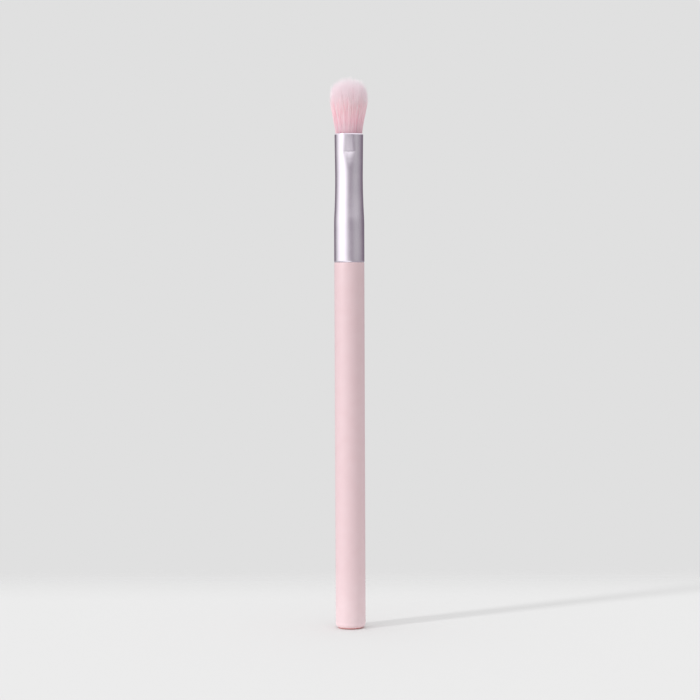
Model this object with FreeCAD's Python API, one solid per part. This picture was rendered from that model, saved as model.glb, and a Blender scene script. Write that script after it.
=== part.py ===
"""Eyeshadow brush: a straight handle, a pressed metal ferrule and a domed tuft of fibre locks.

Sizes are in millimetres. The brush stands on the end of its handle. The origin is the centre of
that end face, +Z runs up the brush to the tuft, and X lies along the wide side of the ferrule's
mouth, which is pressed flat in front (-Y) and behind (+Y).
"""

import FreeCAD
import Part

import math
import os

Vector = FreeCAD.Vector
UP = Vector(0, 0, 1)
ORIGIN = Vector(0, 0, 0)
FULL_TURN = 360.0
CUT_OVERRUN = 1.0

# Handle: a plain round stick with a tenon that the ferrule slips over.
HANDLE_DIAMETER = 9.0
HANDLE_LENGTH = 110.0
HANDLE_END_ROUND = 1.5
SHOULDER_CHAMFER = 0.2
TENON_LENGTH = 10.0
TENON_NOSE_LENGTH = 1.2
TENON_NOSE_DEPTH = 0.4

# Adhesive film between the tenon and the ferrule.
GLUE_FILM = 0.1

# Ferrule: a drawn tube, straight over the tenon and curled in at its end, then necked to a waist.
FERRULE_DIAMETER = 9.06
FERRULE_LENGTH = 38.4
FERRULE_WALL = 0.3
FERRULE_STRAIGHT = 11.0
FERRULE_CURL_HEIGHT = 0.55
FERRULE_CURL_DEPTH = 0.1
NECK_KNEE_SHARE = 0.2
WAIST_DIAMETER = 8.28
WAIST_BELOW_MOUTH = 12.4

# Mouth of the ferrule: belled out a little, then pressed with a sloping flat in front and behind.
MOUTH_WIDTH = 8.58
MOUTH_RIM_CHAMFER = 0.1
PRESS_HEIGHT = 5.4
PRESS_LIP_HEIGHT = 2.7
PRESS_SINK_AT_RIM = 0.18
PRESS_SINK_AT_CREASE = 0.4

# Resin that binds the fibre roots inside the ferrule.
RESIN_HEIGHT = 9.0
RESIN_BELOW_MOUTH = 7.0
RESIN_BELOW_ROOTS = 3.0
RESIN_POCKET_GAP = 0.05

# Tuft: rings of tapering fibre locks, flared from the mouth and trimmed to a dome.
TUFT_LENGTH = 16.9
TUFT_WIDTH = 11.16
TUFT_DEPTH = 9.8
TUFT_FLARE_HEIGHT = 11.6
TUFT_FLARE_POWER = 1.5
TUFT_DOME_HEIGHT = 4.0
TUFT_MOUTH_GAP = 0.05
TUFT_ROOT_SHARE = 0.93
LOCK_RINGS = 4
LOCKS_IN_FIRST_RING = 6
LOCK_SIDES = 6
LOCK_STATION_SHARES = (0, 0.35, 0.7, 0.88, 1)
LOCK_FILL_SHARE = 0.95
LOCK_TIP_SHARE = 0.35
LOCK_TAPER_START_SHARE = 0.7

# Heights and radii that follow from the sizes above.
HANDLE_RADIUS = HANDLE_DIAMETER / 2
FERRULE_RADIUS = FERRULE_DIAMETER / 2
WAIST_RADIUS = WAIST_DIAMETER / 2
TENON_RADIUS = FERRULE_RADIUS - FERRULE_WALL - GLUE_FILM
SHOULDER_Z = HANDLE_LENGTH
TENON_TOP_Z = SHOULDER_Z + TENON_LENGTH
NECK_Z = SHOULDER_Z + FERRULE_STRAIGHT
MOUTH_Z = SHOULDER_Z + FERRULE_LENGTH
WAIST_Z = MOUTH_Z - WAIST_BELOW_MOUTH
CREASE_Z = MOUTH_Z - PRESS_HEIGHT
RESIN_TOP_Z = MOUTH_Z - RESIN_BELOW_MOUTH
RESIN_BOTTOM_Z = RESIN_TOP_Z - RESIN_HEIGHT
ROOT_Z = RESIN_BOTTOM_Z + RESIN_BELOW_ROOTS
LOCK_PITCH_SHARE = 1 / (LOCK_RINGS + LOCK_FILL_SHARE / 2)


def on_profile(radius, height):
    """A point of a half section, in the plane that is turned about the brush's axis."""
    return Vector(radius, 0, height)


def line(start, end):
    return Part.LineSegment(start, end).toShape()


def arc_from_upright(start, end):
    """An arc that leaves start straight up or down and ends at end."""
    side = end.x - start.x
    rise = end.z - start.z
    radius = (side**2 + rise**2) / (2 * abs(side))
    half_turn = math.asin(min(1, abs(rise) / radius)) / 2
    middle = on_profile(
        start.x + math.copysign(radius * (1 - math.cos(half_turn)), side),
        start.z + math.copysign(radius * math.sin(half_turn), rise),
    )
    return Part.Arc(start, middle, end).toShape()


def turned(edges):
    """The solid that a closed half section sweeps about the brush's axis."""
    return Part.Face(Part.Wire(edges)).revolve(ORIGIN, UP, FULL_TURN)


def ellipse_wire(centre, half_width, half_depth):
    """A closed elliptical section, with its longer axis along X or along Y."""
    along, across = Vector(half_width, 0, 0), Vector(0, half_depth, 0)
    if half_width < half_depth:
        along, across = across, -along
    return Part.Wire(Part.Ellipse(centre + along, centre + across, centre).toShape())


def ruled_loft(sections):
    return Part.makeLoft(sections, True, True)


def flat_face(corners):
    return Part.Face(Part.makePolygon([*corners, corners[0]]))


def flat_sided_solid(sections):
    """The solid with flat sides through a row of sections, each a list of as many corners."""
    faces = [flat_face(sections[0]), flat_face(sections[-1])]
    for lower, upper in zip(sections, sections[1:]):
        for side in range(len(lower)):
            following = (side + 1) % len(lower)
            faces.append(flat_face([lower[side], lower[following], upper[following], upper[side]]))
    return Part.Solid(Part.Shell(faces))


def make_handle():
    """The turned handle: a rounded end, a straight shank, a shoulder and the tenon."""
    end_edge = on_profile(HANDLE_RADIUS - HANDLE_END_ROUND, 0)
    shank_bottom = on_profile(HANDLE_RADIUS, HANDLE_END_ROUND)
    shank_top = on_profile(HANDLE_RADIUS, SHOULDER_Z - SHOULDER_CHAMFER)
    shoulder_edge = on_profile(HANDLE_RADIUS - SHOULDER_CHAMFER, SHOULDER_Z)
    tenon_root = on_profile(TENON_RADIUS, SHOULDER_Z)
    nose_start = on_profile(TENON_RADIUS, TENON_TOP_Z - TENON_NOSE_LENGTH)
    nose_end = on_profile(TENON_RADIUS - TENON_NOSE_DEPTH, TENON_TOP_Z)
    tenon_tip = on_profile(0, TENON_TOP_Z)
    return turned([
        line(ORIGIN, end_edge),
        arc_from_upright(shank_bottom, end_edge),
        line(shank_bottom, shank_top),
        line(shank_top, shoulder_edge),
        line(shoulder_edge, tenon_root),
        line(tenon_root, nose_start),
        line(nose_start, nose_end),
        line(nose_end, tenon_tip),
        line(tenon_tip, ORIGIN),
    ])


def make_ferrule_glue():
    """The sleeve of adhesive between the tenon's straight part and the ferrule."""
    film_height = TENON_LENGTH - TENON_NOSE_LENGTH
    foot = on_profile(0, SHOULDER_Z)
    sleeve = Part.makeCylinder(TENON_RADIUS + GLUE_FILM, film_height, foot)
    return sleeve.cut(Part.makeCylinder(TENON_RADIUS, film_height, foot))


def bell_radius(height, inset):
    """Radius of the tube's skin between the waist and the mouth, inset inside the outer skin."""
    share = (height - WAIST_Z) / WAIST_BELOW_MOUTH
    return WAIST_RADIUS + (MOUTH_WIDTH / 2 - WAIST_RADIUS) * share - inset


def round_tube(inset, curl_height, curl_depth):
    """The ferrule before it is pressed, as a solid from the handle's shoulder up to the mouth.

    The tube's skin lies inset inside the ferrule's outer skin, and curls in at the lower end.
    """
    radius = FERRULE_RADIUS - inset
    foot = on_profile(radius - curl_depth, SHOULDER_Z)
    curl_top = on_profile(radius, SHOULDER_Z + curl_height)
    neck_start = on_profile(radius, NECK_Z)
    waist = on_profile(bell_radius(WAIST_Z, inset), WAIST_Z)
    knee = neck_start + (waist - neck_start) * NECK_KNEE_SHARE
    mouth = on_profile(bell_radius(MOUTH_Z, inset), MOUTH_Z)
    curl = [arc_from_upright(curl_top, foot)] if curl_height else []
    return turned([
        line(on_profile(0, SHOULDER_Z), foot),
        *curl,
        line(curl_top, neck_start),
        arc_from_upright(neck_start, knee),
        arc_from_upright(waist, knee),
        line(waist, mouth),
        line(mouth, on_profile(0, MOUTH_Z)),
        line(on_profile(0, MOUTH_Z), on_profile(0, SHOULDER_Z)),
    ])


def press_jaws(inset):
    """The front and back jaws that press the mouth: a sloping flat with a long slanted lip below it."""
    lip_z = CREASE_Z - PRESS_LIP_HEIGHT
    rim = Vector(0, bell_radius(MOUTH_Z, inset) - PRESS_SINK_AT_RIM, MOUTH_Z)
    crease = Vector(0, bell_radius(CREASE_Z, inset) - PRESS_SINK_AT_CREASE, CREASE_Z)
    lip = Vector(0, bell_radius(lip_z, inset), lip_z)
    past_rim = rim + (rim - crease) * (CUT_OVERRUN / PRESS_HEIGHT)
    past_lip = lip + (lip - crease) * (CUT_OVERRUN / PRESS_LIP_HEIGHT)
    outer_y = MOUTH_WIDTH / 2 + CUT_OVERRUN
    outer_top = Vector(0, outer_y, past_rim.z)
    outer_bottom = Vector(0, outer_y, past_lip.z)
    outline = Part.makePolygon([crease, past_rim, outer_top, outer_bottom, past_lip, crease])
    back_jaw = Part.Face(outline).extrude(Vector(MOUTH_WIDTH, 0, 0))
    back_jaw.translate(Vector(-MOUTH_WIDTH / 2, 0, 0))
    return [back_jaw, back_jaw.mirror(ORIGIN, Vector(0, 1, 0))]


def ferrule_skin(inset, curl_height, curl_depth):
    """The solid that fills the ferrule out to a skin that lies inset inside its outer one."""
    return round_tube(inset, curl_height, curl_depth).cut(press_jaws(inset))


def ferrule_bore():
    """The space inside the ferrule, from the handle's shoulder to the mouth."""
    return ferrule_skin(FERRULE_WALL, 0, 0)


def make_ferrule():
    """The ferrule: a tube of even wall with a curled lower end and a rim with its edges broken."""
    outside = ferrule_skin(0, FERRULE_CURL_HEIGHT, FERRULE_CURL_DEPTH)
    tube = outside.cut(ferrule_bore()).Solids[0]
    rim_edges = [edge for edge in tube.Edges if edge.BoundBox.ZMin > MOUTH_Z - MOUTH_RIM_CHAMFER]
    return tube.makeChamfer(MOUTH_RIM_CHAMFER, rim_edges)


def bundle_half_sizes_at_mouth():
    """Half the width and half the depth of the fibre bundle where it leaves the pressed mouth."""
    clearance = FERRULE_WALL + TUFT_MOUTH_GAP
    return bell_radius(MOUTH_Z, clearance), bell_radius(CREASE_Z, clearance) - PRESS_SINK_AT_CREASE


def bundle_half_sizes_at_root():
    """Half the width and half the depth of the bundle at its roots, drawn in to pass the waist."""
    waist_radius = bell_radius(WAIST_Z, FERRULE_WALL + TUFT_MOUTH_GAP)
    return [min(waist_radius, size) * TUFT_ROOT_SHARE for size in bundle_half_sizes_at_mouth()]


def bundle_half_sizes(height):
    """Half the width and half the depth of the whole fibre bundle at a height."""
    mouth_width, mouth_depth = bundle_half_sizes_at_mouth()
    if height <= MOUTH_Z:
        end_width, end_depth = bundle_half_sizes_at_root()
        spread = (MOUTH_Z - height) / (MOUTH_Z - ROOT_Z)
    else:
        end_width, end_depth = TUFT_WIDTH / 2, TUFT_DEPTH / 2
        rise_share = min(1, (height - MOUTH_Z) / TUFT_FLARE_HEIGHT)
        spread = math.sin(rise_share * math.pi / 2) ** TUFT_FLARE_POWER
    return (
        mouth_width + (end_width - mouth_width) * spread,
        mouth_depth + (end_depth - mouth_depth) * spread,
    )


def make_resin_plug():
    """The cast resin that fills the ferrule below and around the fibre roots."""
    slab = Part.makeCylinder(FERRULE_RADIUS, RESIN_HEIGHT, on_profile(0, RESIN_BOTTOM_Z))
    pocket_sections = []
    for height in (ROOT_Z, RESIN_TOP_Z):
        half_width, half_depth = bundle_half_sizes(height)
        pocket_sections.append(ellipse_wire(
            on_profile(0, height), half_width + RESIN_POCKET_GAP, half_depth + RESIN_POCKET_GAP
        ))
    return ferrule_bore().common(slab).cut(ruled_loft(pocket_sections)).removeSplitter()


def lock_spots(ring):
    """Centres of a ring's locks, as shares of the bundle's half sizes."""
    count = LOCKS_IN_FIRST_RING * ring if ring else 1
    turns = [2 * math.pi * index / count for index in range(count)]
    reach_share = ring * LOCK_PITCH_SHARE
    return [(reach_share * math.cos(turn), reach_share * math.sin(turn)) for turn in turns]


def lock_taper(free_share):
    """A lock's thickness at a share of its free length, as a share of its full thickness."""
    past_start = max(0, free_share - LOCK_TAPER_START_SHARE) / (1 - LOCK_TAPER_START_SHARE)
    return 1 - (1 - LOCK_TIP_SHARE) * past_start**2


def lock_depth_share():
    """A lock's depth as a share of its width, the same all along it so that its sides are flat."""
    mouth_width, mouth_depth = bundle_half_sizes_at_mouth()
    return min(mouth_depth / mouth_width, TUFT_DEPTH / TUFT_WIDTH)


def lock_section(x_share, y_share, height, size_share):
    """Corners of a lock's section, the first of which points away from the brush's axis."""
    half_width, half_depth = bundle_half_sizes(height)
    lock_half_width = half_width * size_share
    lock_half_depth = lock_half_width * lock_depth_share()
    facing = math.atan2(y_share, x_share)
    corners = []
    for side in range(LOCK_SIDES):
        turn = facing + 2 * math.pi * side / LOCK_SIDES
        corners.append(Vector(
            half_width * x_share + lock_half_width * math.cos(turn),
            half_depth * y_share + lock_half_depth * math.sin(turn),
            height,
        ))
    return corners


def make_lock(x_share, y_share):
    """One tapering lock of fibres, from its root in the resin to its tip on the dome."""
    dome_share = math.sqrt(1 - x_share**2 - y_share**2)
    free_length = TUFT_LENGTH - TUFT_DOME_HEIGHT * (1 - dome_share)
    full_share = LOCK_PITCH_SHARE * LOCK_FILL_SHARE / 2
    sections = [lock_section(x_share, y_share, ROOT_Z, full_share)]
    for free_share in LOCK_STATION_SHARES:
        height = MOUTH_Z + free_length * free_share
        sections.append(lock_section(x_share, y_share, height, full_share * lock_taper(free_share)))
    return flat_sided_solid(sections)


def make_lock_ring(ring):
    return Part.makeCompound([make_lock(*spot) for spot in lock_spots(ring)])


def make_parts():
    parts = {
        "handle": make_handle(),
        "ferrule_glue": make_ferrule_glue(),
        "ferrule": make_ferrule(),
        "resin_plug": make_resin_plug(),
        "bristle_core": make_lock_ring(0),
    }
    for ring in range(1, LOCK_RINGS + 1):
        parts[f"bristle_ring_{ring}"] = make_lock_ring(ring)
    return parts


def main():
    os.makedirs("parts", exist_ok=True)
    for name, shape in make_parts().items():
        shape.exportStep(f"parts/{name}.step")
        print(f"{name}: {len(shape.Solids)} solids, {shape.Volume:.2f} mm3, valid {shape.isValid()}")


main()
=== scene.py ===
"""Looks of the eyeshadow brush: a lacquered handle, a pressed satin ferrule and a tuft of fine fibres.

Lengths are in metres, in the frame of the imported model: +Z runs up the brush and its front faces -Y.
"""

import math

import bpy
import numpy as np
from mathutils import Matrix, Vector


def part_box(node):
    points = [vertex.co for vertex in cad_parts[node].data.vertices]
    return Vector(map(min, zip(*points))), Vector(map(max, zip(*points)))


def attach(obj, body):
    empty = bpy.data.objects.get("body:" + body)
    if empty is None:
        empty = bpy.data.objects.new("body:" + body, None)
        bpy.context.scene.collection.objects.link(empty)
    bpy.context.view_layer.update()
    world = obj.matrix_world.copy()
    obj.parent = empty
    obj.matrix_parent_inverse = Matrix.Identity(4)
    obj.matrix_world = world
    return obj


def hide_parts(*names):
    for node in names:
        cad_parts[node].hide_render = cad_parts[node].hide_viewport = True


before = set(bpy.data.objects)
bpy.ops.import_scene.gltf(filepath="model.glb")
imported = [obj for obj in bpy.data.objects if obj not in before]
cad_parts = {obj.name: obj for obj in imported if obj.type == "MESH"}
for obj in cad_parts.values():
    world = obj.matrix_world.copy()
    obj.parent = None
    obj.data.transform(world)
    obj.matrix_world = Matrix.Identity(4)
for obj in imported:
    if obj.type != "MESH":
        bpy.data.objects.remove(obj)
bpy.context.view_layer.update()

BODY = "root"
BAKE_MAP = "OFBake"
RANDOM_SEED = 7

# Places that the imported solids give.
HANDLE_LOW, HANDLE_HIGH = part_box("handle")
FERRULE_LOW, FERRULE_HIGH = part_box("ferrule")
GLUE_LOW, GLUE_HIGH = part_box("ferrule_glue")
RESIN_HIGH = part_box("resin_plug")[1]
CORE_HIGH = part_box("bristle_core")[1]
OUTER_LOW, OUTER_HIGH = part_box("bristle_ring_4")
HANDLE_RADIUS = (HANDLE_HIGH.x - HANDLE_LOW.x) / 2
FERRULE_RADIUS = (FERRULE_HIGH.x - FERRULE_LOW.x) / 2
SHOULDER_Z = FERRULE_LOW.z
MOUTH_Z = FERRULE_HIGH.z
TENON_TOP_Z = HANDLE_HIGH.z
TUFT_TOP_Z = CORE_HIGH.z
TUFT_HALF_WIDTH = (OUTER_HIGH.x - OUTER_LOW.x) / 2
TUFT_HALF_DEPTH = (OUTER_HIGH.y - OUTER_LOW.y) / 2
FIBRE_ROOT_Z = RESIN_HIGH.z

# Handle: edges, and the tenon inside the ferrule.
HANDLE_END_ROUND = 0.0015
SHOULDER_ROUND = 0.0002
GLUE_FILM = 0.0001
TENON_NOSE_LENGTH = 0.0012
TENON_NOSE_DEPTH = 0.0004
TENON_RADIUS = (GLUE_HIGH.x - GLUE_LOW.x) / 2 - GLUE_FILM
CAP_SHARES = (0.1, 0.9)
HANDLE_SEGMENTS = 128
HANDLE_SHARP_ANGLE = math.radians(50)
ROUND_STEPS = 10
SHANK_RINGS = 24

# Ferrule: straight over the tenon, necked to a waist, belled and pressed at the mouth.
FERRULE_WALL = 0.0003
FERRULE_STRAIGHT = 0.011
FERRULE_CURL_HEIGHT = 0.00055
FERRULE_CURL_DEPTH = 0.0001
NECK_KNEE_SHARE = 0.2
WAIST_RADIUS = 0.00414
WAIST_BELOW_MOUTH = 0.0124
MOUTH_RADIUS = 0.00429
PRESS_HEIGHT = 0.0054
PRESS_LIP_HEIGHT = 0.0027
PRESS_SINK_AT_RIM = 0.00018
PRESS_SINK_AT_CREASE = 0.0004
PRESS_EDGE_SOFTNESS = 0.00036
LIP_EDGE_SOFTNESS = 0.0005
CREASE_SOFTNESS = 0.00003
CREASE_UNEVEN = 0.00014
CREASE_WAVES = (2300, 5200)
RIM_ROUND_HEIGHT = 0.00045
FERRULE_SEGMENTS = 192
FERRULE_SHARP_ANGLE = math.radians(60)
FERRULE_ROW = 0.0004
PRESS_ROW = 0.00014
BORE_ROW = 0.0008
CURL_Z = SHOULDER_Z + FERRULE_CURL_HEIGHT
NECK_Z = SHOULDER_Z + FERRULE_STRAIGHT
WAIST_Z = MOUTH_Z - WAIST_BELOW_MOUTH
CREASE_Z = MOUTH_Z - PRESS_HEIGHT
LIP_Z = CREASE_Z - PRESS_LIP_HEIGHT
RIM_Z = MOUTH_Z - RIM_ROUND_HEIGHT

# Tuft: a flared bundle of tapering fibres with a domed end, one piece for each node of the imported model.
FIBRE_COUNT = 11000
FIBRE_THICKNESS = 0.00012
FIBRE_TIP_SHARE = 0.1
FIBRE_TAPER_START_SHARE = 0.4
FIBRE_SIDES = 3
FREE_SPANS = 6
TUFT_MOUTH_GAP = 0.00005
TUFT_FLARE_HEIGHT = 0.0116
TUFT_FLARE_POWER = 1.5
TUFT_DOME_HEIGHT = 0.004
TUFT_LENGTH = TUFT_TOP_Z - MOUTH_Z
RING_COUNT = 4
CORE_RING_SHARE = 0.5
BUNDLE_RINGS = RING_COUNT + CORE_RING_SHARE
CLUMP_COUNT = 900
CLUMP_PULL_SHARE = 0.1
STRAY_SHARE = 0.035
STRAY_POWER = 3
WAVE_SIZE = 0.00008
SHORTFALL_MEAN = 0.002
SHORTFALL_SPREAD = 0.0011
SHORTFALL_LEAST, SHORTFALL_MOST = -0.0005, 0.005
TONE_COLUMNS = 128
LIGHT_BOUNCES = 48
GOLDEN_ANGLE = math.pi * (3 - math.sqrt(5))

# Finishes: patterns in repeats per metre, bumps by their depth, and shares that shaders take.
LACQUER_ROUGHNESS = (0.38, 0.48)
LACQUER_SPECULAR = 1.0
LACQUER_MOTTLE_SCALE = 260.0
LACQUER_PEEL_SCALE = 2600.0
LACQUER_PEEL_DEPTH = 0.00001
LACQUER_PEEL_STRENGTH = 0.25
# Painted shade: up to this height the lacquer is painted a darker red under the foot's rounded edge.
FOOT_SHADE_HEIGHT = 0.0006
# Painted floor bounce: these sizes and tints paint the lacquer paler over the lowest part of the handle,
# palest at the foot's edge, and a little darker above it.
PAINTED_BOUNCE_HEIGHT = 0.018
PAINTED_BOUNCE_EDGE_SHARE = 0.12
PAINTED_BOUNCE_EDGE_TINT = (1.18, 1.18, 1.18, 1.0)
PAINTED_BOUNCE_TOP_TINT = (0.926, 0.886, 0.893, 1.0)
METAL_ROUGHNESS = (0.18, 0.24)
METAL_LINE_SCALE = 900.0
METAL_LINE_STRETCH = (6, 6, 0.15)
METAL_LINE_DEPTH = 0.000004
METAL_LINE_STRENGTH = 0.2
METAL_SMUDGE_SCALE = 220.0
FIBRE_ROUGHNESS = 0.4
FIBRE_SATURATION = (1.6, 0.75)
RESIN_ROUGHNESS = 0.2
RESIN_CLOUD_SCALE = 500.0
GLUE_ROUGHNESS = 0.6
GLUE_CLOUD_SCALE = 700.0
FLOOR_ROUGHNESS = 0.9
NOISE_LOW_SHARE, NOISE_HIGH_SHARE = 0.3, 0.7

# Camera and stage.
CAMERA_DISTANCE = 0.58
CAMERA_HEIGHT = 0.104
CAMERA_SIDE = 0.0001
CAMERA_PITCH = math.radians(2.0)
CAMERA_ROLL = math.radians(-0.22)
CAMERA_LENS = 99.42
CAMERA_SENSOR = 36.0
CAMERA_CLIP_START, CAMERA_CLIP_END = 0.01, 10
FLOOR_HALF_SIZE = 0.6
FLOOR_FADE_START = 0.0455
FLOOR_FADE_END = 0.122
FLOOR_EDGE_START = 0.16
FLOOR_EDGE_END = 0.28
SIDE_LIGHT = 0.48
OVERHEAD_LIGHT = 1.45
BACKDROP_LEVEL = 0.745
BACKDROP_START, BACKDROP_END = 0.1, 0.6
KEY_LEVEL = 0.445
KEY_LEFT = 58
KEY_UP = 23
KEY_SPREAD = math.radians(6)

# What the metal mirrors, by degrees round from the camera to the right: a softbox on the left and dark
# corners at eye level, a pale floor below the horizon, brightest towards the camera, and a pale ceiling.
ROOM_ROUND = [
    (-180, 0.25), (-135, 0.24), (-112, 0.75), (-90, 1.4), (-70, 1.75), (-35, 1.7), (-20, 1.15),
    (-5, 0.54), (9, 0.36), (45, 0.57), (65, 0.59), (100, 0.42), (130, 0.22), (180, 0.25),
]
ROOM_FLOOR_ROUND = [(-180, 0.5), (-60, 0.8), (-20, 1.3), (5, 1.3), (20, 0.5), (180, 0.5)]
ROOM_FLOOR_START, ROOM_FLOOR_END = -0.014, -0.084
ROOM_CEILING = 1.3
ROOM_CEILING_START, ROOM_CEILING_END = 0.12, 0.28
ROOM_DARK_LEVEL, ROOM_PALE_LEVEL = 0.2, 0.55
ROOM_DARK_COLOUR = (1.0, 0.8, 1.0, 1.0)


def srgb(red, green, blue):
    """A colour given as 8-bit sRGB levels, as the linear colour that shaders take."""
    shares = np.array([red, green, blue]) / 255
    low, high = shares / 12.92, ((shares + 0.055) / 1.055) ** 2.4
    return (*np.where(shares <= 0.04045, low, high).tolist(), 1.0)


def grey(level):
    return (level, level, level, 1.0)


# Meshes

def add_object(name, points, faces, corner_uv):
    """A mesh object with its bake map, from points, faces and one map place per face corner."""
    mesh = bpy.data.meshes.new(name)
    mesh.from_pydata(points.tolist(), [], faces)
    layer = mesh.uv_layers.new(name=BAKE_MAP)
    layer.uv.foreach_set("vector", np.asarray(corner_uv, np.float32).ravel())
    obj = bpy.data.objects.new(name, mesh)
    bpy.context.scene.collection.objects.link(obj)
    return obj


def strip_faces(rows, columns, first=0):
    """Four-sided faces between each row of points and the next, closed round the columns."""
    row, column = np.meshgrid(np.arange(rows - 1), np.arange(columns), indexing="ij")
    following = (column + 1) % columns
    corners = [row * columns + column, row * columns + following]
    corners += [corner + columns for corner in reversed(corners)]
    return np.stack(corners, axis=-1).reshape(-1, 4) + first


def strip_uv(rows_v, columns):
    """Map places for strip_faces, with the columns across and the given row places up."""
    row, column = np.meshgrid(np.arange(len(rows_v) - 1), np.arange(columns), indexing="ij")
    low, high = rows_v[row], rows_v[row + 1]
    left, right = column / columns, (column + 1) / columns
    return np.stack([left, low, right, low, right, high, left, high], axis=-1).reshape(-1, 2)


def row_places(rings):
    """Each ring's share of the way along the rings, by the distance between them."""
    steps = np.linalg.norm(np.diff(rings[:, 0], axis=0), axis=1)
    travelled = np.concatenate([[0], np.cumsum(steps)])
    return travelled / travelled[-1]


def turned_rings(profile, segments):
    """Rings of points from a profile of (radius, height) pairs."""
    turn = np.arange(segments) * 2 * math.pi / segments
    radius, height = np.array(profile).T
    x, y = np.outer(radius, np.cos(turn)), np.outer(radius, np.sin(turn))
    return np.stack([x, y, np.broadcast_to(height[:, None], x.shape)], axis=-1)


def quarter_round(centre_radius, centre_z, size, start_turn):
    """Profile points of a quarter of a circle, counted anticlockwise from start_turn."""
    turns = start_turn + np.linspace(0, math.pi / 2, ROUND_STEPS)
    return [(centre_radius + size * math.cos(t), centre_z + size * math.sin(t)) for t in turns]


# Handle

def handle_profile():
    """The handle's half section from the middle of its end face to the middle of the tenon's tip."""
    flat_radius = HANDLE_RADIUS - HANDLE_END_ROUND
    shoulder_low = SHOULDER_Z - SHOULDER_ROUND
    nose_z = TENON_TOP_Z - TENON_NOSE_LENGTH
    nose_radius = TENON_RADIUS - TENON_NOSE_DEPTH
    flat = [(flat_radius * share, 0) for share in np.linspace(*CAP_SHARES, ROUND_STEPS)]
    end_round = quarter_round(flat_radius, HANDLE_END_ROUND, HANDLE_END_ROUND, -math.pi / 2)
    shank_heights = np.linspace(HANDLE_END_ROUND, shoulder_low, SHANK_RINGS)[1:-1]
    shank = [(HANDLE_RADIUS, height) for height in shank_heights]
    shoulder = quarter_round(HANDLE_RADIUS - SHOULDER_ROUND, shoulder_low, SHOULDER_ROUND, 0)
    tenon = [(TENON_RADIUS, SHOULDER_Z), (TENON_RADIUS, nose_z)]
    nose = [(nose_radius, TENON_TOP_Z), (nose_radius / 2, TENON_TOP_Z)]
    return [*flat, *end_round, *shank, *shoulder, *tenon, *nose]


def make_handle():
    rings = turned_rings(handle_profile(), HANDLE_SEGMENTS)
    sides = strip_faces(len(rings), HANDLE_SEGMENTS)
    side_uv = strip_uv(row_places(rings), HANDLE_SEGMENTS)
    points = rings.reshape(-1, 3)
    bottom_cap = list(range(HANDLE_SEGMENTS))[::-1]
    top_cap = list(range(len(points) - HANDLE_SEGMENTS, len(points)))
    cap_uv = np.zeros((2 * HANDLE_SEGMENTS, 2))
    faces = [*sides.tolist(), bottom_cap, top_cap]
    handle = add_object("handle_body", points, faces, np.concatenate([side_uv, cap_uv]))
    handle.data.shade_smooth()
    handle.data.set_sharp_from_angle(angle=HANDLE_SHARP_ANGLE)
    return handle


# Ferrule

def soft_min(first, second, softness):
    """The smaller of two sizes, rounded off where they are within softness of each other."""
    share = np.clip(0.5 + 0.5 * (second - first) / softness, 0, 1)
    return second + (first - second) * share - softness * share * (1 - share)


def ferrule_radius(height):
    """Radius of the ferrule's outer skin before it is pressed."""
    if height < CURL_Z:
        drop = 1 - (height - SHOULDER_Z) / FERRULE_CURL_HEIGHT
        return FERRULE_RADIUS - FERRULE_CURL_DEPTH * (1 - math.sqrt(1 - drop**2))
    if height >= WAIST_Z:
        return WAIST_RADIUS + (MOUTH_RADIUS - WAIST_RADIUS) * (height - WAIST_Z) / WAIST_BELOW_MOUTH
    neck_share = max(0, height - NECK_Z) / (WAIST_Z - NECK_Z)
    if neck_share < NECK_KNEE_SHARE:
        narrowed = neck_share**2 / NECK_KNEE_SHARE
    else:
        narrowed = 1 - (1 - neck_share) ** 2 / (1 - NECK_KNEE_SHARE)
    return FERRULE_RADIUS + (WAIST_RADIUS - FERRULE_RADIUS) * narrowed


def press_depth(height):
    """How far from the axis the pressed flat, or the lip below it, lies at a height."""
    crease_depth = ferrule_radius(CREASE_Z) - PRESS_SINK_AT_CREASE
    rim_depth = ferrule_radius(MOUTH_Z) - PRESS_SINK_AT_RIM
    lip_depth = ferrule_radius(LIP_Z)
    flat = crease_depth + (rim_depth - crease_depth) * (height - CREASE_Z) / PRESS_HEIGHT
    lip = crease_depth + (lip_depth - crease_depth) * (CREASE_Z - height) / PRESS_LIP_HEIGHT
    return -soft_min(-flat, -lip, CREASE_SOFTNESS)


def edge_softness(height):
    """How softly the press meets the round tube: crisply above the crease, and more softly below it."""
    below_share = min(1, max(0, CREASE_Z - height) / PRESS_LIP_HEIGHT)
    return PRESS_EDGE_SOFTNESS + (LIP_EDGE_SOFTNESS - PRESS_EDGE_SOFTNESS) * below_share


def crease_shift(x):
    """How far the crease strays up and down across the pressed flat, as a hand-held punch leaves it."""
    waves = [np.sin(wave * x + number) for number, wave in enumerate(CREASE_WAVES, 1)]
    return CREASE_UNEVEN * sum(waves) / len(waves)


def ferrule_ring(height, inset):
    """Points round the ferrule at a height, so far inside its outer skin."""
    turn = np.arange(FERRULE_SEGMENTS) * 2 * math.pi / FERRULE_SEGMENTS
    radius = ferrule_radius(height) - inset
    x, y = radius * np.cos(turn), radius * np.sin(turn)
    depth = press_depth(height + crease_shift(x)) - inset
    pressed = soft_min(np.abs(y), depth, edge_softness(height))
    return np.stack([x, np.sign(y) * pressed, np.full_like(x, height)], axis=-1)


def even_heights(low, high, step):
    return np.linspace(low, high, max(2, round((high - low) / step) + 1))


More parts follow.
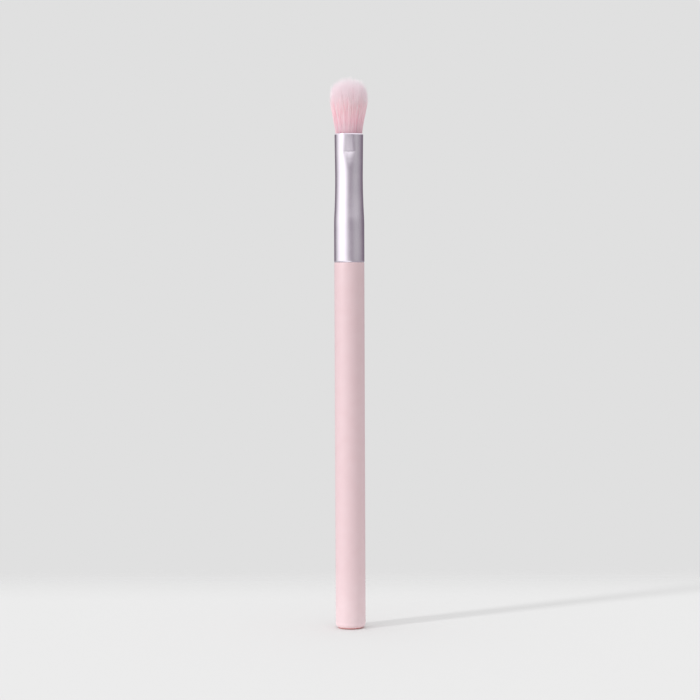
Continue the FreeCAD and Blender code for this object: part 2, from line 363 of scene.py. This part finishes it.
def make_ferrule():
    """A tube of even wall with a full round rim, as one closed loop of rings."""
    curl = even_heights(SHOULDER_Z, CURL_Z, FERRULE_CURL_HEIGHT / ROUND_STEPS)
    tube = even_heights(CURL_Z, LIP_Z - PRESS_LIP_HEIGHT, FERRULE_ROW)
    pressed = even_heights(LIP_Z - PRESS_LIP_HEIGHT, RIM_Z, PRESS_ROW)
    outside = [ferrule_ring(height, 0) for height in [*curl, *tube[1:], *pressed[1:]]]
    half_wall = FERRULE_WALL / 2
    rim_turns = np.linspace(0, math.pi, ROUND_STEPS)[1:-1]
    rim = [
        ferrule_ring(RIM_Z, half_wall * (1 - math.cos(t))) + [0, 0, RIM_ROUND_HEIGHT * math.sin(t)]
        for t in rim_turns
    ]
    bore_heights = even_heights(CURL_Z, RIM_Z, BORE_ROW)[::-1]
    bore = [ferrule_ring(height, FERRULE_WALL) for height in bore_heights]
    bottom = ferrule_ring(CURL_Z, FERRULE_WALL) * [1, 1, 0] + [0, 0, SHOULDER_Z]
    rings = np.array([*outside, *rim, *bore, bottom, outside[0]])
    faces = strip_faces(len(rings), FERRULE_SEGMENTS)
    uv = strip_uv(row_places(rings), FERRULE_SEGMENTS)
    points = rings[:-1].reshape(-1, 3)
    ferrule = add_object("ferrule_shell", points, (faces % len(points)).tolist(), uv)
    ferrule.data.shade_smooth()
    ferrule.data.set_sharp_from_angle(angle=FERRULE_SHARP_ANGLE)
    return ferrule


# Tuft

def bundle_half_sizes(height):
    """Half the width and half the depth of the fibre bundle at each height."""
    clearance = FERRULE_WALL + TUFT_MOUTH_GAP
    mouth_width = MOUTH_RADIUS - clearance
    mouth_depth = ferrule_radius(CREASE_Z) - PRESS_SINK_AT_CREASE - clearance
    rise = np.clip((height - MOUTH_Z) / TUFT_FLARE_HEIGHT, 0, 1)
    flare = np.sin(rise * math.pi / 2) ** TUFT_FLARE_POWER
    half_width = mouth_width + (TUFT_HALF_WIDTH - mouth_width) * flare
    half_depth = mouth_depth + (TUFT_HALF_DEPTH - mouth_depth) * flare
    return half_width, half_depth


def spread_spots(count):
    """Spots spread evenly over a round bundle, as shares of its half sizes."""
    index = np.arange(count)
    reach = np.sqrt((index + 0.5) / count)
    turn = index * GOLDEN_ANGLE
    return np.stack([reach * np.cos(turn), reach * np.sin(turn)], axis=-1)


def nearest_clumps(spots):
    """The number and the middle of the evenly spread clump nearest to each spot."""
    centres = spread_spots(CLUMP_COUNT)
    gaps = np.linalg.norm(spots[:, None] - centres, axis=-1)
    clump = np.argmin(gaps, axis=1)
    return clump, centres[clump]


def make_fibres():
    """Centre lines of all fibres.

    Returns each fibre's share of the bundle's reach, the points of its line and its tone column.
    """
    random = np.random.default_rng(RANDOM_SEED)
    spots = spread_spots(FIBRE_COUNT)
    reach = np.linalg.norm(spots, axis=1)
    shortfall = random.normal(SHORTFALL_MEAN, SHORTFALL_SPREAD, FIBRE_COUNT)
    shortfall = np.clip(shortfall, SHORTFALL_LEAST, SHORTFALL_MOST)
    dome = TUFT_DOME_HEIGHT * (1 - np.sqrt(1 - reach**2))
    free_length = TUFT_LENGTH - dome - shortfall
    along = np.linspace(0, 1, FREE_SPANS + 1)
    height = MOUTH_Z + free_length[:, None] * along
    clump, centres = nearest_clumps(spots)
    pull = (centres - spots) * CLUMP_PULL_SHARE
    stray = random.normal(0, STRAY_SHARE, (FIBRE_COUNT, 2))
    climb = along[:, None]
    shares = spots[:, None] + pull[:, None] * climb + stray[:, None] * climb**STRAY_POWER
    half_width, half_depth = bundle_half_sizes(height)
    wave_turn = random.uniform(0, 2 * math.pi, (FIBRE_COUNT, 1)) + along * 2 * math.pi
    x = shares[..., 0] * half_width + WAVE_SIZE * along * np.sin(wave_turn)
    y = shares[..., 1] * half_depth + WAVE_SIZE * along * np.cos(wave_turn)
    free = np.stack([x, y, height], axis=-1)
    root = np.concatenate([free[:, :1, :2], np.full((FIBRE_COUNT, 1, 1), FIBRE_ROOT_Z)], axis=-1)
    clump_tone = random.integers(0, TONE_COLUMNS, CLUMP_COUNT)
    own_tone = random.integers(0, TONE_COLUMNS, FIBRE_COUNT)
    columns = (clump_tone[clump] + own_tone) // 2
    return reach, np.concatenate([root, free], axis=1), columns


def fibre_mesh(name, lines, columns):
    """Thin tapering tubes along the lines, with each fibre's tone across the map and its length up it."""
    random = np.random.default_rng(RANDOM_SEED)
    count = len(lines)
    along = np.concatenate([[0], np.linspace(0, 1, FREE_SPANS + 1)])
    tapered = np.clip((along - FIBRE_TAPER_START_SHARE) / (1 - FIBRE_TAPER_START_SHARE), 0, 1)
    radius = FIBRE_THICKNESS / 2 * (1 - (1 - FIBRE_TIP_SHARE) * tapered)
    corner = np.arange(FIBRE_SIDES) * 2 * math.pi / FIBRE_SIDES
    turn = corner + random.uniform(0, 2 * math.pi, (count, 1))
    section = np.stack([np.cos(turn), np.sin(turn), np.zeros_like(turn)], axis=-1)
    points = lines[:, :, None] + radius[:, None, None] * section[:, None]
    rows = len(along)
    fibre_points = rows * FIBRE_SIDES
    first = np.arange(count)[:, None, None] * fibre_points
    sides = (strip_faces(rows, FIBRE_SIDES) + first).reshape(-1, 4)
    root_cap = np.arange(FIBRE_SIDES)[::-1]
    tip_cap = np.arange(fibre_points - FIBRE_SIDES, fibre_points)
    caps = (np.stack([root_cap, tip_cap]) + first).reshape(-1, FIBRE_SIDES)
    side_uv = strip_uv(along, FIBRE_SIDES)[None].repeat(count, axis=0)
    side_uv[..., 0] = (columns[:, None] + side_uv[..., 0]) / TONE_COLUMNS
    cap_uv = np.zeros((count, 2, FIBRE_SIDES, 2))
    cap_uv[..., 0] = (columns[:, None, None] + 0.5) / TONE_COLUMNS
    cap_uv[:, 1, :, 1] = 1
    corner_uv = np.concatenate([side_uv.reshape(-1, 2), cap_uv.reshape(-1, 2)])
    return add_object(name, points.reshape(-1, 3), [*sides.tolist(), *caps.tolist()], corner_uv)


def make_tuft():
    """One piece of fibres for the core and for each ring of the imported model, by the node's name."""
    reach, lines, columns = make_fibres()
    ring_of_fibre = np.minimum(np.round(reach * BUNDLE_RINGS), RING_COUNT).astype(int)
    pieces = {}
    for ring in range(RING_COUNT + 1):
        chosen = ring_of_fibre == ring
        name = f"ring_{ring}" if ring else "core"
        pieces[f"bristle_{name}"] = fibre_mesh(f"fibres_{name}", lines[chosen], columns[chosen])
    return pieces


# Nodes that materials and the world share

def feed(tree, value, socket):
    """Gives a socket a plain number, or the output of another node."""
    if isinstance(value, (int, float)):
        socket.default_value = value
    else:
        tree.links.new(value, socket)


def combine(tree, operation, first, second):
    """The result of a math operation on two values."""
    node = tree.nodes.new("ShaderNodeMath")
    node.operation = operation
    tree.links.new(first, node.inputs[0])
    tree.links.new(second, node.inputs[1])
    return node.outputs["Value"]


def mix_shaders(tree, factor, first, second):
    """A shader that goes from the first to the second as factor goes from 0 to 1."""
    mix = tree.nodes.new("ShaderNodeMixShader")
    tree.links.new(factor, mix.inputs["Fac"])
    tree.links.new(first.outputs[0], mix.inputs[1])
    tree.links.new(second.outputs[0], mix.inputs[2])
    return mix


def spread_over(tree, value, from_low, from_high, to_low, to_high):
    """Value between two limits, spread between two others and held at the ends."""
    spread = tree.nodes.new("ShaderNodeMapRange")
    spread.inputs["From Min"].default_value = from_low
    spread.inputs["From Max"].default_value = from_high
    spread.inputs["To Min"].default_value = to_low
    spread.inputs["To Max"].default_value = to_high
    tree.links.new(value, spread.inputs["Value"])
    return spread.outputs["Result"]


def blend_levels(tree, factor, first, second):
    """Goes from the first level to the second as factor goes from 0 to 1."""
    mix = tree.nodes.new("ShaderNodeMix")
    feed(tree, factor, mix.inputs["Factor"])
    feed(tree, first, mix.inputs["A"])
    feed(tree, second, mix.inputs["B"])
    return mix.outputs["Result"]


# Materials

def new_material(name, colour, roughness, metallic=0.0, specular=0.5):
    """A node material with the given even values, and its main shader."""
    material = bpy.data.materials.new(name)
    material.use_nodes = True
    shader = material.node_tree.nodes["Principled BSDF"]
    shader.inputs["Base Color"].default_value = colour
    shader.inputs["Roughness"].default_value = roughness
    shader.inputs["Metallic"].default_value = metallic
    shader.inputs["Specular IOR Level"].default_value = specular
    return material, shader


def add_node(material, kind, **settings):
    node = material.node_tree.nodes.new(kind)
    for name, value in settings.items():
        setattr(node, name, value)
    return node


def join(material, source, target):
    material.node_tree.links.new(source, target)


def add_noise(material, scale, detail, stretch=(1, 1, 1)):
    """A noise pattern over the object's own coordinates, scaled along each axis."""
    place = add_node(material, "ShaderNodeTexCoord")
    mapping = add_node(material, "ShaderNodeMapping")
    mapping.inputs["Scale"].default_value = stretch
    noise = add_node(material, "ShaderNodeTexNoise")
    noise.inputs["Scale"].default_value = scale
    noise.inputs["Detail"].default_value = detail
    join(material, place.outputs["Object"], mapping.inputs["Vector"])
    join(material, mapping.outputs["Vector"], noise.inputs["Vector"])
    return noise.outputs["Fac"]


def add_ramp(material, factor, stops):
    """A colour ramp over factor, from a list of (place, colour) stops."""
    ramp = add_node(material, "ShaderNodeValToRGB")
    elements = ramp.color_ramp.elements
    elements[0].position, elements[0].color = stops[0]
    elements[1].position, elements[1].color = stops[-1]
    for place, colour in stops[1:-1]:
        elements.new(place).color = colour
    join(material, factor, ramp.inputs["Fac"])
    return ramp.outputs["Color"]


def add_range(material, factor, low, high):
    """Factor from 0 to 1, spread over low to high."""
    return spread_over(material.node_tree, factor, 0, 1, low, high)


def add_bump(material, shader, height, distance, strength):
    bump = add_node(material, "ShaderNodeBump")
    bump.inputs["Strength"].default_value = strength
    bump.inputs["Distance"].default_value = distance
    join(material, height, bump.inputs["Height"])
    join(material, bump.outputs["Normal"], shader.inputs["Normal"])


def height_share(material, top):
    """How far up a point lies, from 0 at the foot of the handle to 1 at the top and above it."""
    place = add_node(material, "ShaderNodeTexCoord")
    split = add_node(material, "ShaderNodeSeparateXYZ")
    join(material, place.outputs["Object"], split.inputs["Vector"])
    return spread_over(material.node_tree, split.outputs["Z"], 0, top, 0, 1)


def add_mottle(material, noise, dark, pale):
    """A colour that wanders between two, by a noise pattern."""
    return add_ramp(material, noise, [(NOISE_LOW_SHARE, dark), (NOISE_HIGH_SHARE, pale)])


def tinted(material, colour, tint):
    """The product of two colours."""
    product = add_node(material, "ShaderNodeMix", data_type="RGBA", blend_type="MULTIPLY")
    product.inputs["Factor"].default_value = 1.0
    join(material, colour, product.inputs["A"])
    join(material, tint, product.inputs["B"])
    return product.outputs["Result"]


def lacquer_material():
    """Soft pink lacquer with a fine orange peel, with painted floor bounce that makes it paler towards the
    foot and painted reddish shade at its very edge.
    """
    material, shader = new_material(
        "soft_pink_lacquer", srgb(229, 203, 207), LACQUER_ROUGHNESS[0], specular=LACQUER_SPECULAR
    )
    noise = add_noise(material, LACQUER_MOTTLE_SCALE, detail=3)
    lacquer = add_mottle(material, noise, srgb(228, 201, 205), srgb(230, 205, 209))
    # Painted floor bounce: the lacquer is painted paler low on the handle, palest at the foot's rounded
    # edge, and a little darker above that band.
    painted_bounce_stops = [(0.0, PAINTED_BOUNCE_EDGE_TINT), (PAINTED_BOUNCE_EDGE_SHARE, grey(1)), (1.0, PAINTED_BOUNCE_TOP_TINT)]
    painted_bounce = add_ramp(material, height_share(material, PAINTED_BOUNCE_HEIGHT), painted_bounce_stops)
    # Painted shade: the underside of the foot's rounded edge is painted a darker red.
    foot_shade_stops = [(0.15, srgb(255, 170, 163)), (0.5, srgb(255, 210, 204)), (1.0, grey(1))]
    foot = add_ramp(material, height_share(material, FOOT_SHADE_HEIGHT), foot_shade_stops)
    # The lacquer with its painted floor bounce and its painted foot shade.
    finish = tinted(material, tinted(material, lacquer, painted_bounce), foot)
    join(material, finish, shader.inputs["Base Color"])
    join(material, add_range(material, noise, *LACQUER_ROUGHNESS), shader.inputs["Roughness"])
    peel = add_noise(material, LACQUER_PEEL_SCALE, detail=2)
    add_bump(material, shader, peel, LACQUER_PEEL_DEPTH, LACQUER_PEEL_STRENGTH)
    return material


def satin_metal_material():
    """Satin metal with a lilac cast, fine drawing lines along the tube and faint handling marks."""
    colour = srgb(217, 209, 219)
    material, shader = new_material("satin_lilac_metal", colour, METAL_ROUGHNESS[0], metallic=1.0)
    lines = add_noise(material, METAL_LINE_SCALE, detail=4, stretch=METAL_LINE_STRETCH)
    smudges = add_noise(material, METAL_SMUDGE_SCALE, detail=3)
    metal = add_mottle(material, smudges, srgb(214, 206, 217), srgb(219, 211, 221))
    join(material, metal, shader.inputs["Base Color"])
    join(material, add_range(material, smudges, *METAL_ROUGHNESS), shader.inputs["Roughness"])
    add_bump(material, shader, lines, METAL_LINE_DEPTH, METAL_LINE_STRENGTH)
    return material


def fibre_material():
    """Fine synthetic fibre, deeper pink at the root and pale towards the tip, each a little different."""
    material, shader = new_material("pink_fibre", srgb(238, 205, 213), FIBRE_ROUGHNESS)
    uv = add_node(material, "ShaderNodeUVMap", uv_map=BAKE_MAP)
    split = add_node(material, "ShaderNodeSeparateXYZ")
    join(material, uv.outputs["UV"], split.inputs["Vector"])
    stops = [
        (0.0, srgb(230, 198, 207)),
        (0.15, srgb(240, 213, 221)),
        (0.3, srgb(248, 217, 225)),
        (0.6, srgb(255, 233, 238)),
        (0.8, srgb(255, 246, 249)),
        (0.9, srgb(254, 246, 249)),
        (1.0, srgb(243, 238, 241)),
    ]
    length_colour = add_ramp(material, split.outputs["Y"], stops)
    column = add_node(material, "ShaderNodeMath", operation="MULTIPLY")
    column.inputs[1].default_value = TONE_COLUMNS
    join(material, split.outputs["X"], column.inputs[0])
    whole = add_node(material, "ShaderNodeMath", operation="FLOOR")
    join(material, column.outputs["Value"], whole.inputs[0])
    tone = add_node(material, "ShaderNodeTexWhiteNoise", noise_dimensions="1D")
    join(material, whole.outputs["Value"], tone.inputs["W"])
    shade = add_node(material, "ShaderNodeHueSaturation")
    saturation = add_range(material, tone.outputs["Value"], *FIBRE_SATURATION)
    join(material, saturation, shade.inputs["Saturation"])
    join(material, length_colour, shade.inputs["Color"])
    join(material, shade.outputs["Color"], shader.inputs["Base Color"])
    return material


def resin_material():
    """Cast amber resin with faint cloudiness."""
    material, shader = new_material("amber_resin", srgb(219, 204, 168), RESIN_ROUGHNESS)
    cloud = add_noise(material, RESIN_CLOUD_SCALE, detail=3)
    resin = add_mottle(material, cloud, srgb(206, 186, 143), srgb(226, 213, 182))
    join(material, resin, shader.inputs["Base Color"])
    return material


def glue_material():
    """Cured adhesive, pale and a little uneven."""
    material, shader = new_material("cured_glue", srgb(230, 224, 209), GLUE_ROUGHNESS)
    cloud = add_noise(material, GLUE_CLOUD_SCALE, detail=3)
    glue = add_mottle(material, cloud, srgb(222, 214, 196), srgb(236, 231, 218))
    join(material, glue, shader.inputs["Base Color"])
    return material


# Stage, light and camera

def dress_world():
    """A pale backdrop to look at, a room for metal to mirror, and soft light for all other surfaces."""
    world = bpy.data.worlds.new("studio")
    bpy.context.scene.world = world
    world.use_nodes = True
    tree = world.node_tree
    place = tree.nodes.new("ShaderNodeTexCoord")
    direction = tree.nodes.new("ShaderNodeSeparateXYZ")
    tree.links.new(place.outputs["Generated"], direction.inputs["Vector"])
    backdrop = tree.nodes["Background"]
    backdrop.inputs["Color"].default_value = grey(BACKDROP_LEVEL)
    room = tree.nodes.new("ShaderNodeBackground")
    level = room_level(tree, direction)
    tree.links.new(level, room.inputs["Strength"])
    tree.links.new(room_colour(tree, level), room.inputs["Color"])
    sky = tree.nodes.new("ShaderNodeBackground")
    overhead = spread_over(tree, direction.outputs["Z"], 0, 1, SIDE_LIGHT, OVERHEAD_LIGHT)
    behind = spread_over(tree, direction.outputs["Y"], BACKDROP_START, BACKDROP_END, 0, BACKDROP_LEVEL)
    tree.links.new(combine(tree, "MAXIMUM", overhead, behind), sky.inputs["Strength"])
    sky.inputs["Color"].default_value = grey(1)
    path = tree.nodes.new("ShaderNodeLightPath")
    mirrored = combine(tree, "MAXIMUM", path.outputs["Is Glossy Ray"], path.outputs["Is Transmission Ray"])
    lit = mix_shaders(tree, mirrored, sky, room)
    seen = mix_shaders(tree, path.outputs["Is Camera Ray"], lit, backdrop)
    tree.links.new(seen.outputs[0], tree.nodes["World Output"].inputs["Surface"])


def level_round(tree, turn, stops):
    """A level by the turn round the brush, from (degrees, level) stops over the full turn."""
    start, end = stops[0][0], stops[-1][0]
    brightest = max(level for _, level in stops)
    ramp = tree.nodes.new("ShaderNodeValToRGB")
    elements = ramp.color_ramp.elements
    elements.remove(elements[1])
    for index, (degrees, level) in enumerate(stops):
        place = (degrees - start) / (end - start)
        element = elements[0] if index == 0 else elements.new(place)
        element.position = place
        element.color = grey(level / brightest)
    tree.links.new(spread_over(tree, turn, -math.pi, math.pi, 0, 1), ramp.inputs["Fac"])
    return spread_over(tree, ramp.outputs["Color"], 0, 1, 0, brightest)


def room_level(tree, direction):
    """Level of the room that metal mirrors, by the direction round the brush and by the height."""
    up = direction.outputs["Z"]
    front = spread_over(tree, direction.outputs["Y"], -1, 1, 1, -1)
    turn = combine(tree, "ARCTAN2", direction.outputs["X"], front)
    below = spread_over(tree, up, ROOM_FLOOR_START, ROOM_FLOOR_END, 0, 1)
    above = spread_over(tree, up, ROOM_CEILING_START, ROOM_CEILING_END, 0, 1)
    walls = level_round(tree, turn, ROOM_ROUND)
    floor = level_round(tree, turn, ROOM_FLOOR_ROUND)
    walls_and_floor = blend_levels(tree, below, walls, floor)
    return blend_levels(tree, above, walls_and_floor, ROOM_CEILING)


def room_colour(tree, level):
    """Colour of the room that metal mirrors: lilac in its dark corners and white in its lamps."""
    ramp = tree.nodes.new("ShaderNodeValToRGB")
    dark, pale = ramp.color_ramp.elements
    dark.position, dark.color = ROOM_DARK_LEVEL, ROOM_DARK_COLOUR
    pale.position, pale.color = ROOM_PALE_LEVEL, grey(1)
    tree.links.new(level, ramp.inputs["Fac"])
    return ramp.outputs["Color"]


def smooth_rise(material, value, start, end):
    """Rises smoothly from 0 where value is at start to 1 where it is at end."""
    rise = add_node(material, "ShaderNodeMapRange", interpolation_type="SMOOTHSTEP")
    rise.inputs["From Min"].default_value = start
    rise.inputs["From Max"].default_value = end
    join(material, value, rise.inputs["Value"])
    return rise.outputs["Result"]


def floor_material():
    """A matt pale floor that fades into the backdrop behind the brush and far to the sides."""
    material, shader = new_material("pale_floor", srgb(210, 210, 210), FLOOR_ROUGHNESS, specular=0.0)
    tree = material.node_tree
    place = add_node(material, "ShaderNodeTexCoord")
    split = add_node(material, "ShaderNodeSeparateXYZ")
    join(material, place.outputs["Object"], split.inputs["Vector"])
    behind = smooth_rise(material, split.outputs["Y"], FLOOR_FADE_START, FLOOR_FADE_END)
    reach = add_node(material, "ShaderNodeVectorMath", operation="LENGTH")
    join(material, place.outputs["Object"], reach.inputs[0])
    far = smooth_rise(material, reach.outputs["Value"], FLOOR_EDGE_START, FLOOR_EDGE_END)
    clear = add_node(material, "ShaderNodeBsdfTransparent")
    faded = mix_shaders(tree, combine(tree, "MAXIMUM", behind, far), shader, clear)
    join(material, faded.outputs[0], tree.nodes["Material Output"].inputs["Surface"])
    return material


def make_floor():
    mesh = bpy.data.meshes.new("floor")
    corner_signs = [(-1, -1), (1, -1), (1, 1), (-1, 1)]
    corners = [(FLOOR_HALF_SIZE * x, FLOOR_HALF_SIZE * y, 0) for x, y in corner_signs]
    mesh.from_pydata(corners, [], [range(len(corners))])
    floor = bpy.data.objects.new("floor", mesh)
    bpy.context.scene.collection.objects.link(floor)
    mesh.materials.append(floor_material())


def from_front(left_degrees, up_degrees):
    """Direction from the brush to a place so far left of the camera and so far above the horizon."""
    left, up = math.radians(left_degrees), math.radians(up_degrees)
    return Vector((-math.sin(left) * math.cos(up), -math.cos(left) * math.cos(up), math.sin(up)))


def light_stage():
    """A distant key lamp to the front left, which gives the long shadow."""
    key = bpy.data.lights.new("key", "SUN")
    key.energy = math.pi * KEY_LEVEL
    key.angle = KEY_SPREAD
    holder = bpy.data.objects.new("key", key)
    holder.rotation_mode = "QUATERNION"
    holder.rotation_quaternion = from_front(KEY_LEFT, KEY_UP).to_track_quat("Z", "Y")
    bpy.context.scene.collection.objects.link(holder)


def make_camera():
    camera = bpy.data.cameras.new("camera")
    camera.lens = CAMERA_LENS
    camera.sensor_width = CAMERA_SENSOR
    camera.clip_start, camera.clip_end = CAMERA_CLIP_START, CAMERA_CLIP_END
    holder = bpy.data.objects.new("camera", camera)
    place = Matrix.Translation((CAMERA_SIDE, -CAMERA_DISTANCE, CAMERA_HEIGHT))
    tilt = Matrix.Rotation(math.pi / 2 - CAMERA_PITCH, 4, "X")
    roll = Matrix.Rotation(CAMERA_ROLL, 4, "Z")
    holder.matrix_world = place @ tilt @ roll
    bpy.context.scene.collection.objects.link(holder)
    bpy.context.scene.camera = holder


# The brush put together

def dress(piece, material, slot, *nodes):
    """Gives a new piece its finish, lets it ride on the brush and stand for its solids."""
    piece.data.materials.append(material)
    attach(piece, BODY)
    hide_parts(*nodes)


def repaint(node, material):
    """Gives a solid that is kept as it is a better finish."""
    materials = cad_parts[node].data.materials
    materials.clear()
    materials.append(material)


def build():
    dress(make_handle(), lacquer_material(), "lacquered_wood", "handle")
    dress(make_ferrule(), satin_metal_material(), "satin_aluminium", "ferrule")
    fibre = fibre_material()
    for node, piece in make_tuft().items():
        dress(piece, fibre, "fibre", node)
    repaint("resin_plug", resin_material())
    repaint("ferrule_glue", glue_material())
    dress_world()
    make_floor()
    light_stage()
    make_camera()
    bpy.context.scene.view_settings.view_transform = "Standard"
    bpy.context.scene.cycles.max_bounces = LIGHT_BOUNCES
    bpy.context.scene.cycles.diffuse_bounces = LIGHT_BOUNCES


build()
